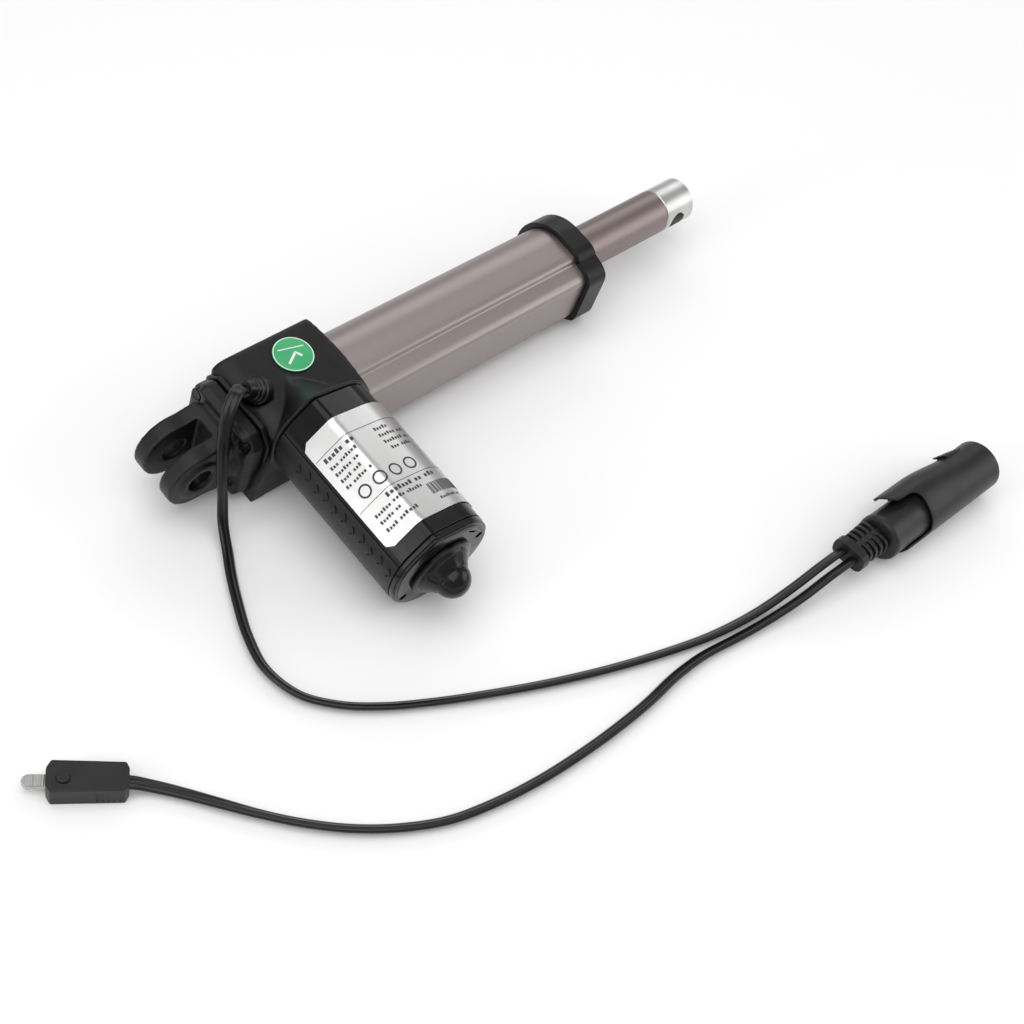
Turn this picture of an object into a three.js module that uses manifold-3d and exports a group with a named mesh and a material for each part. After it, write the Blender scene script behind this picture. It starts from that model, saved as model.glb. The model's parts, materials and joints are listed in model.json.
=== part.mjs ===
// A linear actuator of the recliner-chair kind: a right-angle gearmotor drives a lead screw, which pushes a
// round piston tube out of an aluminium profile. A flat twin cable runs to a power plug with a locking
// sleeve, and a second one runs from that plug to a small blade plug. Millimetres, +Z up.
//
// The actuator lies on its gearbox, its collar and the end of its motor, with the screw along +X and the
// motor pointing to -Y. Lengths along the screw are counted from the rear pin.
import * as THREE from "three";
import { mergeVertices } from "three/addons/utils/BufferGeometryUtils.js";
import Module from "manifold-3d";

const wasm = await Module();
wasm.setup();

// ---------------------------------------------------------------- driving dimensions
const PIN_TO_PIN = 273; // rear pin to rod-end hole, retracted
const STROKE = 92;
const GAP = 0.3; // clearance between touching pieces

const TUBE_R = 18; // round far side of the profile
const TUBE_START = 62;
const TUBE_END = 204.8;
const BORE_R = 15.3; // round bore of the profile
const CHANNEL = { depth: 18.7, half: 8 }; // cable channel beside the bore

const COLLAR_START = 197.5;
const COLLAR_END = 207.5;

const ROD_R = 10;
const ROD_BORE_R = 8.3;
const ROD_START = 94;
const ROD_END_START = 265.5; // where the bare aluminium begins
const ROD_TIP = 283.5;
const ROD_HOLE_R = 4.3;

const SCREW_R = 5;
const SCREW_START = 27;
const NUT_START = 78;
const NUT_FLANGE = 12;
const NUT_R = 15;
const NUT_LENGTH = 32; // flange and spigot
const SCREW_END = NUT_START + NUT_LENGTH + STROKE + 7; // the nut stops just short of the screw's end bush

const WHEEL_AT = 48; // worm wheel's mid-plane, and the motor axis
const WHEEL_WIDTH = 12;
const WHEEL_TEETH = 20;
const WHEEL_TIP_R = 9.2;
const WHEEL_ROOT_R = 7.9;
const MOTOR_HEIGHT = 13; // motor axis above the screw axis

const HOUSING = { start: 26, end: 72, bulge: 2, far: 20, near: -22, top: 20.5, bottom: -19.9, edge: 2.2 };
const CLEVIS = { earR: 14, slotHalf: 4.6, earOuter: 11.6, holeR: 5.1, root: 12, flange: 18, end: 23.5,
  screws: [[-14.8, 13.8], [14.6, 13.8], [14.6, -13.8], [-14.8, -13.8]] };
const OUTLET = { x: 0.5, z: 33, lean: THREE.MathUtils.degToRad(50), reach: 9 };
const STICKER = { x: 7.2, z: 55.8, r: 8.4 };

const SEAM = 22.5; // motor seam's distance from the screw axis
const COVER_LENGTH = 70;
const COVER_WALL = 1.9;
const COVER_ROLL = THREE.MathUtils.degToRad(-11);
const COVER_SPLIT = 8; // height of the joint between the two cover halves
const END_PLATE = { start: COVER_LENGTH + GAP, thickness: 3 };
const COVER_SCREWS = [[-13.5, -12.5], [16.6, 9.4]];
const LABEL = { start: 10.5, end: 63.5, rise: 1 };
const DOME = { r: 7.4, height: 14.5 };
const CAN = { start: 1, end: 66, r: 16.4, wall: 1.4 };
const STACK = { start: 18, end: 46 }; // armature laminations
const SHAFT_R = 2.5;
const COMMUTATOR_R = 5.4;
const WORM_R = 3.5;
const WORM_END = -39;
const WORM_BORE_R = 6.2;

const LEAN = THREE.MathUtils.degToRad(6.95); // brings the gearbox's edge and the motor's end to the table
const CORD_R = 2.1; // a flat twin cable, drawn round in this model
const PLUG = { start: 62, y: -141.8, z: 11.4 }; // cable end of the power plug, and its axis
const RELIEF = { length: 18, ribs: 4, lift: 1.2, aside: 1.3 }; // bent a little by its cables
const PLUG_R = 10.1;
const PLUG_NOSE_R = 7.8;
const SLEEVE = {
  start: 28, ring: 42, end: 90, inner: 10.4, outer: 11.3, turn: THREE.MathUtils.degToRad(-48),
  flareFrom: 78, flareTo: 46, flare: 3.2, // the upper tab leans outwards, from its root to its full lift
};
const SMALL_PLUG = {
  x: -237, y: -42.6, length: 28, width: 12.5, height: 8.8, turn: THREE.MathUtils.degToRad(143),
};
const BLADE = { width: 5, thickness: 2.2, reach: 8 }; // the small plug's metal tongue
const ROUND = 28; // segments of a turned piece
const SMALL_ROUND = 16;
const FIT = (TUBE_R + GAP) / TUBE_R; // grows the profile's section by the clearance

// ---------------------------------------------------------------- materials
const material = (color, roughness, metalness) =>
  new THREE.MeshStandardMaterial({ color, roughness, metalness });
const blackPlastic = material(0x1c1c1d, 0.62, 0);
const glossBlack = material(0x101011, 0.18, 0);
const blackRubber = material(0x0e0e0f, 0.3, 0);
const cordPlastic = material(0x171718, 0.42, 0);
const taupeAnodised = material(0x8f8582, 0.42, 0.9);
const brownAnodised = material(0x7d6e6e, 0.35, 0.9);
const bareAluminium = material(0xc9cac8, 0.3, 1);
const steel = material(0x8c8e91, 0.3, 1);
const bronze = material(0xa67c4a, 0.35, 1);
const whiteNylon = material(0xe6e3da, 0.5, 0);
const copper = material(0xb5683a, 0.35, 1);
const ferrite = material(0x3a3a3d, 0.7, 0.1);
const carbon = material(0x232325, 0.8, 0.1);
const boardGreen = material(0x1f6b42, 0.5, 0);
const silverLabel = material(0xe6e6e5, 0.35, 0.3);
const greenSticker = material(0x3db26c, 0.5, 0);

// ---------------------------------------------------------------- solids
/** Turns a closed three.js geometry into a solid that can be cut and joined. */
function toSolid(geometry) {
  const bare = geometry.clone();
  bare.deleteAttribute("normal");
  bare.deleteAttribute("uv");
  const merged = mergeVertices(bare, 1e-4);
  const vertProperties = new Float32Array(merged.attributes.position.array);
  const triVerts = new Uint32Array(merged.index.array);
  return new wasm.Manifold(new wasm.Mesh({ numProp: 3, vertProperties, triVerts }));
}

function toGeometry(solid) {
  const mesh = solid.getMesh();
  const geometry = new THREE.BufferGeometry();
  geometry.setAttribute("position", new THREE.BufferAttribute(mesh.vertProperties, 3));
  geometry.setIndex(new THREE.BufferAttribute(mesh.triVerts, 1));
  geometry.computeVertexNormals();
  return geometry;
}

const join = (first, ...others) => toGeometry(others.reduce((sum, g) => sum.add(toSolid(g)), toSolid(first)));
const cut = (first, ...tools) =>
  toGeometry(tools.reduce((rest, tool) => rest.subtract(toSolid(tool)), toSolid(first)));
const common = (first, ...others) =>
  toGeometry(others.reduce((rest, other) => rest.intersect(toSolid(other)), toSolid(first)));

/** A prism along +Z from z0 to z1. */
function prism(shape, z0, z1, curveSegments = 5) {
  const options = { depth: z1 - z0, bevelEnabled: false, curveSegments };
  return new THREE.ExtrudeGeometry(shape, options).translate(0, 0, z0);
}

/** A piece turned about Z from a list of [radius, z], rising along the outside. */
function turned(profile, segments = ROUND) {
  const points = profile.map(([r, z]) => new THREE.Vector2(r, z));
  return new THREE.LatheGeometry(points, segments).rotateX(Math.PI / 2);
}

const rod = (r, z0, z1, segments) => turned([[0, z0], [r, z0], [r, z1], [0, z1]], segments);
const ring = (inner, outer, z0, z1, segments) =>
  turned([[inner, z0], [outer, z0], [outer, z1], [inner, z1], [inner, z0]], segments);

/** A box given by its lowest and highest corners. */
function block(low, high) {
  const [w, d, h] = high.map((value, i) => value - low[i]);
  return new THREE.BoxGeometry(w, d, h).translate(low[0] + w / 2, low[1] + d / 2, low[2] + h / 2);
}

/** An outline through corners [x, y, radius], each rounded by its radius. */
function roundedShape(corners) {
  const shape = new THREE.Shape();
  corners.forEach(([x, y, radius], i) => {
    const corner = new THREE.Vector2(x, y);
    const [before, after] = [corners.at(i - 1), corners[(i + 1) % corners.length]].map(([nx, ny]) => {
      const toward = new THREE.Vector2(nx - x, ny - y);
      return corner.clone().add(toward.setLength(Math.min(radius, toward.length() * 0.49)));
    });
    if (i === 0) shape.moveTo(before.x, before.y);
    else shape.lineTo(before.x, before.y);
    shape.quadraticCurveTo(x, y, after.x, after.y);
  });
  shape.closePath();
  return shape;
}

const rectangle = (x0, y0, x1, y1, r) => roundedShape([[x0, y0, r], [x1, y0, r], [x1, y1, r], [x0, y1, r]]);

/** An octagon with half-width and half-height `half` and corners cut by `chamfer`. */
function octagon(left, right, half, chamfer) {
  const corners = [[left, -half + chamfer], [left + chamfer, -half], [right - chamfer, -half],
    [right, -half + chamfer], [right, half - chamfer], [right - chamfer, half], [left + chamfer, half],
    [left, half - chamfer]];
  return roundedShape(corners.map(([x, y]) => [x, y, 1]));
}

const actuator = new THREE.Group();
const body = new THREE.Group(); // everything but the cords and their plugs
body.rotation.x = LEAN;
actuator.add(body);

function add(parent, name, geometry, finish) {
  const mesh = new THREE.Mesh(geometry, finish);
  mesh.name = name;
  parent.add(mesh);
  return mesh;
}

// ---------------------------------------------------------------- screw line
// Local axes: z along the screw from the rear pin, x across (away from the motor), y up.
const line = new THREE.Group();
line.quaternion.setFromRotationMatrix(new THREE.Matrix4().makeBasis(
  new THREE.Vector3(0, 1, 0), new THREE.Vector3(0, 0, 1), new THREE.Vector3(1, 0, 0)));
body.add(line);

/** The profile's section: round on the far side, a stepped box on the motor side. */
function profileShape(scale = 1) {
  const upper = [[-9.5, 17.7], [-11.4, 16.9], [-12.4, 15.2], [-18, 13.7], [-20.3, 12.3], [-21, 10.3]];
  const lower = upper.map(([x, y]) => [x, -y]).reverse();
  const shape = new THREE.Shape();
  shape.absarc(0, 0, TUBE_R * scale, -Math.PI / 2, Math.PI / 2, false);
  for (const [x, y] of [...upper, ...lower]) shape.lineTo(x * scale, y * scale);
  shape.closePath();
  return shape;
}

function boreShape() {
  const meet = Math.PI - Math.asin(CHANNEL.half / BORE_R);
  const shape = new THREE.Shape();
  shape.absarc(0, 0, BORE_R, -meet, meet, false);
  shape.lineTo(-CHANNEL.depth, CHANNEL.half);
  shape.lineTo(-CHANNEL.depth, -CHANNEL.half);
  shape.closePath();
  return shape;
}

function addOuterTube() {
  const outer = prism(profileShape(), TUBE_START, TUBE_END, 16);
  add(line, "outer_tube", cut(outer, prism(boreShape(), TUBE_START - 1, TUBE_END + 1, 16)), taupeAnodised);

  const collar = prism(profileShape(1.16), COLLAR_START, COLLAR_END, 12);
  const pocket = prism(profileShape(FIT), COLLAR_START - 1, TUBE_END + GAP, 12);
  add(line, "end_collar", cut(collar, pocket, rod(ROD_R + 0.5, TUBE_END, COLLAR_END + 1)), blackPlastic);
}

function addPiston() {
  add(line, "piston_tube", ring(ROD_BORE_R, ROD_R, ROD_START, ROD_END_START), brownAnodised);

  const bulb = rod(ROD_R, ROD_END_START + GAP, ROD_TIP);
  const spigot = rod(ROD_BORE_R - GAP, ROD_END_START - 16, ROD_END_START + 1);
  const hole = new THREE.CylinderGeometry(ROD_HOLE_R, ROD_HOLE_R, 4 * ROD_R, SMALL_ROUND)
    .rotateZ(Math.PI / 2);
  add(line, "rod_end", cut(join(bulb, spigot), hole.translate(0, 0, PIN_TO_PIN)), bareAluminium);

  const flangeEnd = NUT_START + NUT_FLANGE;
  const nutBore = SCREW_R + GAP;
  const nut = turned([[nutBore, NUT_START], [NUT_R, NUT_START], [NUT_R, flangeEnd],
    [ROD_BORE_R - GAP, flangeEnd], [ROD_BORE_R - GAP, NUT_START + NUT_LENGTH],
    [nutBore, NUT_START + NUT_LENGTH], [nutBore, NUT_START]]);
  const keyHalf = CHANNEL.half - 2;
  const key = block([2 - CHANNEL.depth, -keyHalf, NUT_START], [2 - NUT_R, keyHalf, flangeEnd]);
  add(line, "travel_nut", join(nut, key), whiteNylon);

  const guideEnd = TUBE_END - 2.6;
  add(line, "rod_guide", ring(ROD_R + GAP, BORE_R - GAP, guideEnd - 14, guideEnd), whiteNylon);
  add(line, "wiper_seal", ring(ROD_R + GAP, ROD_R + 3.6, guideEnd + GAP, TUBE_END), blackRubber);
}

function addScrew() {
  const screw = turned([[0, SCREW_START], [3.9, SCREW_START], [3.9, 40], [SCREW_R, 40],
    [SCREW_R, SCREW_END - 6], [3, SCREW_END - 6], [3, SCREW_END], [0, SCREW_END]]);
  add(line, "lead_screw", screw, steel);
  add(line, "screw_end_bush", ring(3 + GAP, ROD_BORE_R - GAP, SCREW_END - 5.7, SCREW_END), whiteNylon);

  const teeth = new THREE.Shape();
  const tooth = [[-0.3, WHEEL_ROOT_R], [-0.14, WHEEL_TIP_R], [0.14, WHEEL_TIP_R], [0.3, WHEEL_ROOT_R]];
  for (let i = 0; i < WHEEL_TEETH; i += 1) {
    const pitch = (2 * Math.PI) / WHEEL_TEETH;
    for (const [share, r] of tooth) {
      const angle = (i + share) * pitch;
      const [x, y] = [r * Math.cos(angle), r * Math.sin(angle)];
      if (i === 0 && share < -0.2) teeth.moveTo(x, y);
      else teeth.lineTo(x, y);
    }
  }
  teeth.closePath();
  const half = WHEEL_WIDTH / 2;
  const wheel = prism(teeth, WHEEL_AT - half, WHEEL_AT + half);
  add(line, "worm_wheel", cut(wheel, rod(SCREW_R + GAP, WHEEL_AT - half - 1, WHEEL_AT + half + 1)), bronze);

  // a ball race each side of the wheel, as inner and outer rings
  for (const [name, z0, seat] of [["rear", 30, 3.9], ["front", 55, SCREW_R]]) {
    add(line, `${name}_bearing_inner`, ring(seat + GAP, 7.6, z0, z0 + 6, SMALL_ROUND), steel);
    add(line, `${name}_bearing_outer`, ring(9, 12, z0, z0 + 6, ROUND), steel);
  }
}

function addSwitchBoard() {
  const wall = -CHANNEL.depth + GAP;
  add(line, "switch_board", block([wall, -6, 66], [wall + 1.2, 6, 190]), boardGreen);
}

// ---------------------------------------------------------------- gearbox housing and clevis
/** The cover's section in its own rolled frame, with shallow flats joined by large corners. */
function coverShape(inset = 0) {
  const corners = [[-14, 23.4, 7], [10, 23.4, 8], [24.6, 8, 9], [24.6, -8, 9], [11, -23.4, 8], [-7, -23.4, 9],
    [-21, -11, 9], [-25, 8, 8]];
  const scale = 1 - inset / 24;
  return roundedShape(corners.map(([x, y, r]) => [x * scale, y * scale, r * scale]));
}

/** Moves a geometry from the motor's own frame to the screw line's. */
const fromMotor = (geometry) => geometry.rotateY(-Math.PI / 2).translate(-SEAM, MOTOR_HEIGHT, WHEEL_AT);

/** A prism whose section shrinks to `share` of itself at its low end, most quickly near its high end. */
function flaredPrism(shape, z0, z1, share) {
  const options = { depth: z1 - z0, bevelEnabled: false, curveSegments: 4, steps: 6 };
  const geometry = new THREE.ExtrudeGeometry(shape, options).translate(0, 0, z0);
  const position = geometry.attributes.position;
  for (let i = 0; i < position.count; i += 1) {
    const way = THREE.MathUtils.clamp((position.getZ(i) - z0) / (z1 - z0), 0, 1);
    const scale = share + (1 - share) * way ** 1.8;
    position.setXY(i, position.getX(i) * scale, position.getY(i) * scale);
  }
  return geometry;
}

function addHousing() {
  const { start, end, bulge, far, near, top, bottom, edge } = HOUSING;
  const box = prism(rectangle(near, bottom, far, top, edge), start, end + bulge, 3);
  const plan = new THREE.Shape();
  plan.moveTo(near - 1, start - 1);
  plan.lineTo(far + 1, start - 1);
  plan.lineTo(far + 1, end);
  plan.quadraticCurveTo(0, end + 2 * bulge, near - 1, end);
  const arched = prism(plan, -top - 1, top + 1, 6).rotateX(Math.PI / 2);
  const side = new THREE.Shape();
  side.moveTo(start - 1, bottom - 1);
  side.lineTo(end + 2 * bulge, bottom - 1);
  side.lineTo(end + 2 * bulge, top);
  side.lineTo(start + 11, top);
  side.quadraticCurveTo(start + 2, top, start - 1, top - 5);
  side.closePath();
  const sloped = prism(side, -30, 30, 5).rotateY(-Math.PI / 2);
  const neck = flaredPrism(coverShape(-0.4), -24, 0, 0.3).rotateZ(COVER_ROLL);
  const shell = join(common(box, arched, sloped), fromMotor(neck));
  add(line, "gearbox_housing", cut(shell,
    rod(12 + GAP, start + 4 - GAP, TUBE_START, ROUND),
    rod(9.5, start - 1, start + 5),
    prism(profileShape(FIT), TUBE_START - GAP, end + bulge + 2, 12),
    fromMotor(rod(WORM_BORE_R, WORM_END - GAP, 1, SMALL_ROUND)),
    placeOnTop(rod(6.2, -3.3, OUTLET.reach, SMALL_ROUND)),
    ...CLEVIS.screws.map(([x, y]) => rod(1.3 + GAP, start - 1, 38, 12).translate(x, y, 0))), blackPlastic);
}

function addClevis() {
  const { earR, slotHalf, earOuter, holeR, root, flange, end, screws } = CLEVIS;
  const ear = new THREE.Shape();
  ear.moveTo(root + 1, -earR - 1.5);
  ear.lineTo(4, -earR);
  ear.absarc(0, 0, earR, -Math.PI / 2, Math.PI / 2, true);
  ear.lineTo(4, earR);
  ear.lineTo(root + 1, earR + 1.5);
  ear.closePath();
  const fork = prism(ear, -earOuter, earOuter, 12).rotateY(-Math.PI / 2);
  const slot = block([-slotHalf, -2 * earR, -2 * earR], [slotHalf, 2 * earR, root - 3]);
  const pinHole = new THREE.CylinderGeometry(holeR, holeR, 4 * earOuter, SMALL_ROUND).rotateZ(Math.PI / 2);
  const rootBlock = prism(octagon(-12.6, 12.5, 15.5, 4), root, flange, 3);
  const flangePlate = prism(octagon(-19, 18.5, 19, 5), flange - 0.2, end, 3);
  add(line, "rear_clevis", cut(join(fork, rootBlock, flangePlate), slot, pinHole,
    ...screws.map(([x, y]) => rod(1.3 + GAP, flange - 1, end + 1, 12).translate(x, y, 0))), blackPlastic);

  const plate = prism(octagon(-20, 19.5, 20, 6), end + GAP, HOUSING.start - GAP, 3);
  add(line, "rear_cover", cut(plate, rod(4.5, end, HOUSING.start, SMALL_ROUND),
    ...screws.map(([x, y]) => rod(1.3 + GAP, end, HOUSING.start, 12).translate(x, y, 0))), blackPlastic);

  screws.forEach(([x, y], i) => {
    const head = flange - 0.2 - GAP;
    const outline = [[0, head - 2], [2.4, head - 2], [2.4, head], [1.3, head], [1.3, 37.5], [0, 37.5]];
    const screw = turned(outline, 12);
    add(line, `clevis_screw_${i + 1}`, screw.translate(x, y, 0), steel);
  });
}

/** Stands a geometry on the cable outlet on top of the housing, leaning back towards the clevis. */
function placeOnTop(geometry) {
  return geometry.rotateX(-Math.PI / 2 - OUTLET.lean).translate(OUTLET.x, HOUSING.top, OUTLET.z);
}

function addTopFittings() {
  const grommet = turned([[0, -3], [5.9, -3], [5.9, 1.2], [5.1, 1.2], [5.1, 2.6], [4.5, 2.6], [4.5, 4.4],
    [3.9, 4.4], [3.6, OUTLET.reach], [0, OUTLET.reach]], SMALL_ROUND);
  add(line, "cable_grommet", placeOnTop(grommet), cordPlastic);

  const sticker = rod(STICKER.r, 0, 0.4, ROUND).rotateX(-Math.PI / 2);
  sticker.translate(STICKER.x, HOUSING.top + GAP, STICKER.z);
  add(line, "inspection_sticker", sticker, greenSticker);
}

// ---------------------------------------------------------------- motor
// Local axes: z out from the gearbox along the motor shaft, y up.
const motor = new THREE.Group();
motor.rotation.y = -Math.PI / 2;
motor.position.set(-SEAM, MOTOR_HEIGHT, WHEEL_AT);
line.add(motor);
const cover = new THREE.Group(); // the cover is turned a little about the shaft
cover.rotation.z = COVER_ROLL;
motor.add(cover);

function addMotorCover() {
  const outer = prism(coverShape(), GAP, COVER_LENGTH);
  const shell = cut(outer, prism(coverShape(COVER_WALL), 0, COVER_LENGTH + 1));
  const reach = 40;
  const above = block([-reach, COVER_SPLIT + GAP / 2, -1], [reach, reach, COVER_LENGTH + 1]);
  const below = block([-reach, -reach, -1], [reach, COVER_SPLIT - GAP / 2, COVER_LENGTH + 1]);
  add(cover, "motor_cover_upper", common(shell, above), glossBlack);
  add(cover, "motor_cover_lower", common(shell, below), blackPlastic);

  const inside = prism(coverShape(-0.35), 0, COVER_LENGTH);
  const wrap = cut(prism(coverShape(-0.7), LABEL.start, LABEL.end), inside);
  const window = block([-reach, COVER_SPLIT + LABEL.rise, 0], [reach, reach, COVER_LENGTH]);
  add(cover, "motor_label", common(wrap, window), silverLabel);

  const plateEnd = END_PLATE.start + END_PLATE.thickness;
  const hole = ([x, y]) => rod(1.4 + GAP, END_PLATE.start - 1, plateEnd + 1, 12).translate(x, y, 0);
  const holes = COVER_SCREWS.map(hole);
  const plate = prism(coverShape(0.3), END_PLATE.start, plateEnd);
  add(cover, "motor_end_plate", cut(plate, rod(5, 0, plateEnd + 1, SMALL_ROUND), ...holes), glossBlack);
  COVER_SCREWS.forEach(([x, y], i) => {
    add(cover, `cover_screw_${i + 1}`, rod(1.4, GAP + 1, plateEnd - 0.6, 12).translate(x, y, 0), steel);
  });

  const base = plateEnd + GAP;
  const dome = [[0, base], [14, base], [14, base + 1.8], [11.6, base + 2.4], [11.2, base + 4],
    [9, base + 4.8]];
  for (let i = 0; i <= 8; i += 1) {
    const angle = (i / 8) * (Math.PI / 2);
    dome.push([i === 8 ? 0 : DOME.r * Math.cos(angle), base + DOME.height - DOME.r * (1 - Math.sin(angle))]);
  }
  add(motor, "rubber_dome", turned(dome, 32), blackRubber);
}

function addMotor() {
  const { start, end, r, wall } = CAN;
  const inner = r - wall;
  add(motor, "motor_can", turned([[6.3, start], [r, start], [r, end], [inner, end], [inner, start + wall],
    [6.3, start + wall], [6.3, start]]), steel);
  add(motor, "motor_front_bearing", ring(SHAFT_R + GAP, 6, start, start + 5, SMALL_ROUND), steel);
  add(motor, "brush_card", ring(SHAFT_R + GAP, inner - GAP, end - 4, end - GAP, ROUND), whiteNylon);

  for (const [name, from] of [["left", Math.PI * 0.65], ["right", -Math.PI * 0.35]]) {
    const arc = new THREE.Shape();
    arc.absarc(0, 0, inner - GAP, from, from + Math.PI * 0.7, false);
    arc.absarc(0, 0, inner - 2.8, from + Math.PI * 0.7, from, true);
    arc.closePath();
    add(motor, `magnet_${name}`, prism(arc, STACK.start - 3, STACK.end + 3, 12), ferrite);
  }

  const shaft = turned([[0, WORM_END + 0.5], [SHAFT_R, WORM_END + 0.5], [SHAFT_R, -33], [WORM_R, -33],
    [WORM_R, -12], [SHAFT_R, -12], [SHAFT_R, end - 0.5], [0, end - 0.5]], SMALL_ROUND);
  add(motor, "worm_shaft", shaft, steel);
  add(motor, "worm_end_bush", ring(SHAFT_R + GAP, WORM_BORE_R - GAP, WORM_END, -34, SMALL_ROUND), bronze);

  const core = new THREE.Shape();
  const coreR = inner - 3.4;
  const slots = 5;
  for (let i = 0; i < slots; i += 1) {
    const middle = (i * 2 * Math.PI) / slots;
    const reach = Math.PI / slots;
    core.absarc(0, 0, coreR, middle - reach * 0.82, middle + reach * 0.82, false);
    const slot = middle + reach;
    core.lineTo(5.5 * Math.cos(slot - 0.1), 5.5 * Math.sin(slot - 0.1));
    core.lineTo(5.5 * Math.cos(slot + 0.1), 5.5 * Math.sin(slot + 0.1));
  }
  core.closePath();
  const stack = prism(core, STACK.start, STACK.end, 6);
  const shaftHole = rod(SHAFT_R + GAP, STACK.start - 1, STACK.end + 1, SMALL_ROUND);
  add(motor, "armature_core", cut(stack, shaftHole), steel);
  const onShaft = (r, z0, z1) => ring(SHAFT_R + GAP, r, z0, z1, SMALL_ROUND);
  add(motor, "winding_front", onShaft(coreR - 1.5, STACK.start - 5, STACK.start - GAP), copper);
  add(motor, "winding_rear", onShaft(coreR - 1.5, STACK.end + GAP, STACK.end + 5), copper);
  add(motor, "commutator", onShaft(COMMUTATOR_R, STACK.end + 5.5, STACK.end + 14), copper);
  for (const [name, side] of [["left", -1], ["right", 1]]) {
    const brush = block([COMMUTATOR_R + GAP, -2.2, STACK.end + 7], [11, 2.2, STACK.end + 12.5]);
    add(motor, `brush_${name}`, side < 0 ? brush.rotateZ(Math.PI) : brush, carbon);
  }
}

// ---------------------------------------------------------------- cords and plugs
/** Centre line of the motor's cable, from the grommet over the gearbox's edge and along the table. */
const MOTOR_CABLE_ROUTE = [[-109.3, 41.9, 48.9], [-112, 41.1, 51], [-115.8, 38.8, 52], [-120.2, 36, 50],
  [-124.4, 32.9, 44.5], [-127.8, 29, 38], [-129.7, 26.2, 27], [-130.8, 23.4, 16], [-133.4, 18.8, 7.5],
  [-137.8, 9.8, 3.2], [-143, 0.5, 2.3], [-149, -11.5, 2.3], [-155, -25.5, 2.3], [-158.5, -40.5, 2.3],
  [-155.5, -56.5, 2.3], [-146.5, -68.5, 2.3], [-134, -78.5, 2.3], [-117, -88.5, 2.3], [-97, -98.5, 2.3],
  [-75, -108.5, 2.3], [-52, -117.5, 2.3], [-28, -125.3, 2.3], [-6, -130.9, 2.3], [16, -134.2, 3.2],
  [35.5, -135.9, 6.8], [50, -136.9, 11.2], [61.7, -137.5, 12.6]];
/** Centre line of the branch cable, from the small plug along the table to the power plug. */
const BRANCH_CABLE_ROUTE = [[-225.3, -51.4, 4.4], [-220, -56.2, 3], [-213, -64.5, 2.3], [-205, -75.5, 2.3],
  [-197, -86.5, 2.3], [-187.5, -98, 2.3], [-175, -110.3, 2.3], [-161, -120.5, 2.3], [-145, -128.7, 2.3],
  [-127, -133.5, 2.3], [-107.5, -136.5, 2.3], [-88, -137.8, 2.3], [-68, -138, 2.3], [-50.5, -137.2, 2.3],
  [-33, -135.3, 2.3], [-17, -135.3, 2.3], [-1, -137.4, 2.3], [14, -139.4, 3.2], [33, -141.6, 6.8],
  [48, -142.6, 11], [61.7, -143.2, 12.6]];

function addCord(name, route) {
  const curve = new THREE.CatmullRomCurve3(route.map((point) => new THREE.Vector3(...point)));
  const section = new THREE.Shape().absarc(0, 0, CORD_R, 0, 2 * Math.PI, false);
  const options = { steps: 3 * route.length, curveSegments: 4, extrudePath: curve };
  const tube = new THREE.ExtrudeGeometry(section, options);
  add(actuator, name, tube, cordPlastic);
}

// Local axes: z along the plug from its cable end, y across, -x up.
const plug = new THREE.Group();
plug.rotation.y = Math.PI / 2;
plug.position.set(PLUG.start, PLUG.y, PLUG.z);
actuator.add(plug);

/** A slab across the strain relief, `width` across and `height` high. */
function slab(width, height, z0, z1) {
  return prism(rectangle(-height / 2, -width / 2, height / 2, width / 2, height * 0.45), z0, z1, 3);
}

function addPlug() {
  const relief = [slab(16, 9.6, 0, 4)];
  relief.push(slab(10.5, 7, 3.5, RELIEF.length));
  relief.push(slab(4.4, 9.8, 3.5, RELIEF.length));
  for (let i = 0; i < RELIEF.ribs; i += 1) {
    const z = 5.6 + i * 3.2;
    relief.push(slab(14.6 + i * 0.4, 9.8, z, z + 1.6));
  }
  const bent = join(...relief).translate(-RELIEF.lift, RELIEF.aside, 0);
  add(plug, "plug_strain_relief", bent, cordPlastic);

  const start = RELIEF.length + GAP;
  const nose = 51;
  const face = 71;
  const solid = turned([[0, start], [PLUG_R - 1.5, start], [PLUG_R, start + 1.5], [PLUG_R, nose],
    [PLUG_NOSE_R, nose], [PLUG_NOSE_R, face], [0, face]]);
  const across = [-2.6, 2.6];
  const wells = across.map((y) => rod(0.9 + GAP, nose, face + 1, 12).translate(0, y, 0));
  add(plug, "plug_body", cut(solid, ...wells), cordPlastic);
  across.forEach((y, i) => {
    add(plug, `plug_contact_${i + 1}`, rod(0.9, nose + GAP, face + 9, 12).translate(0, y, 0), steel);
  });
}

/** Leans the sleeve's upper tab, on its -x side, outwards. */
function flareUpperTab(geometry) {
  const position = geometry.getAttribute("position");
  for (let i = 0; i < position.count; i += 1) {
    const point = new THREE.Vector3().fromBufferAttribute(position, i);
    const share = THREE.MathUtils.smoothstep(-point.z, -SLEEVE.flareFrom, -SLEEVE.flareTo);
    const radius = Math.hypot(point.x, point.y);
    const lift = SLEEVE.flare * share * Math.max(0, -point.x / radius) ** 2;
    position.setXY(i, (point.x * (radius + lift)) / radius, (point.y * (radius + lift)) / radius);
  }
  return geometry;
}

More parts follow.
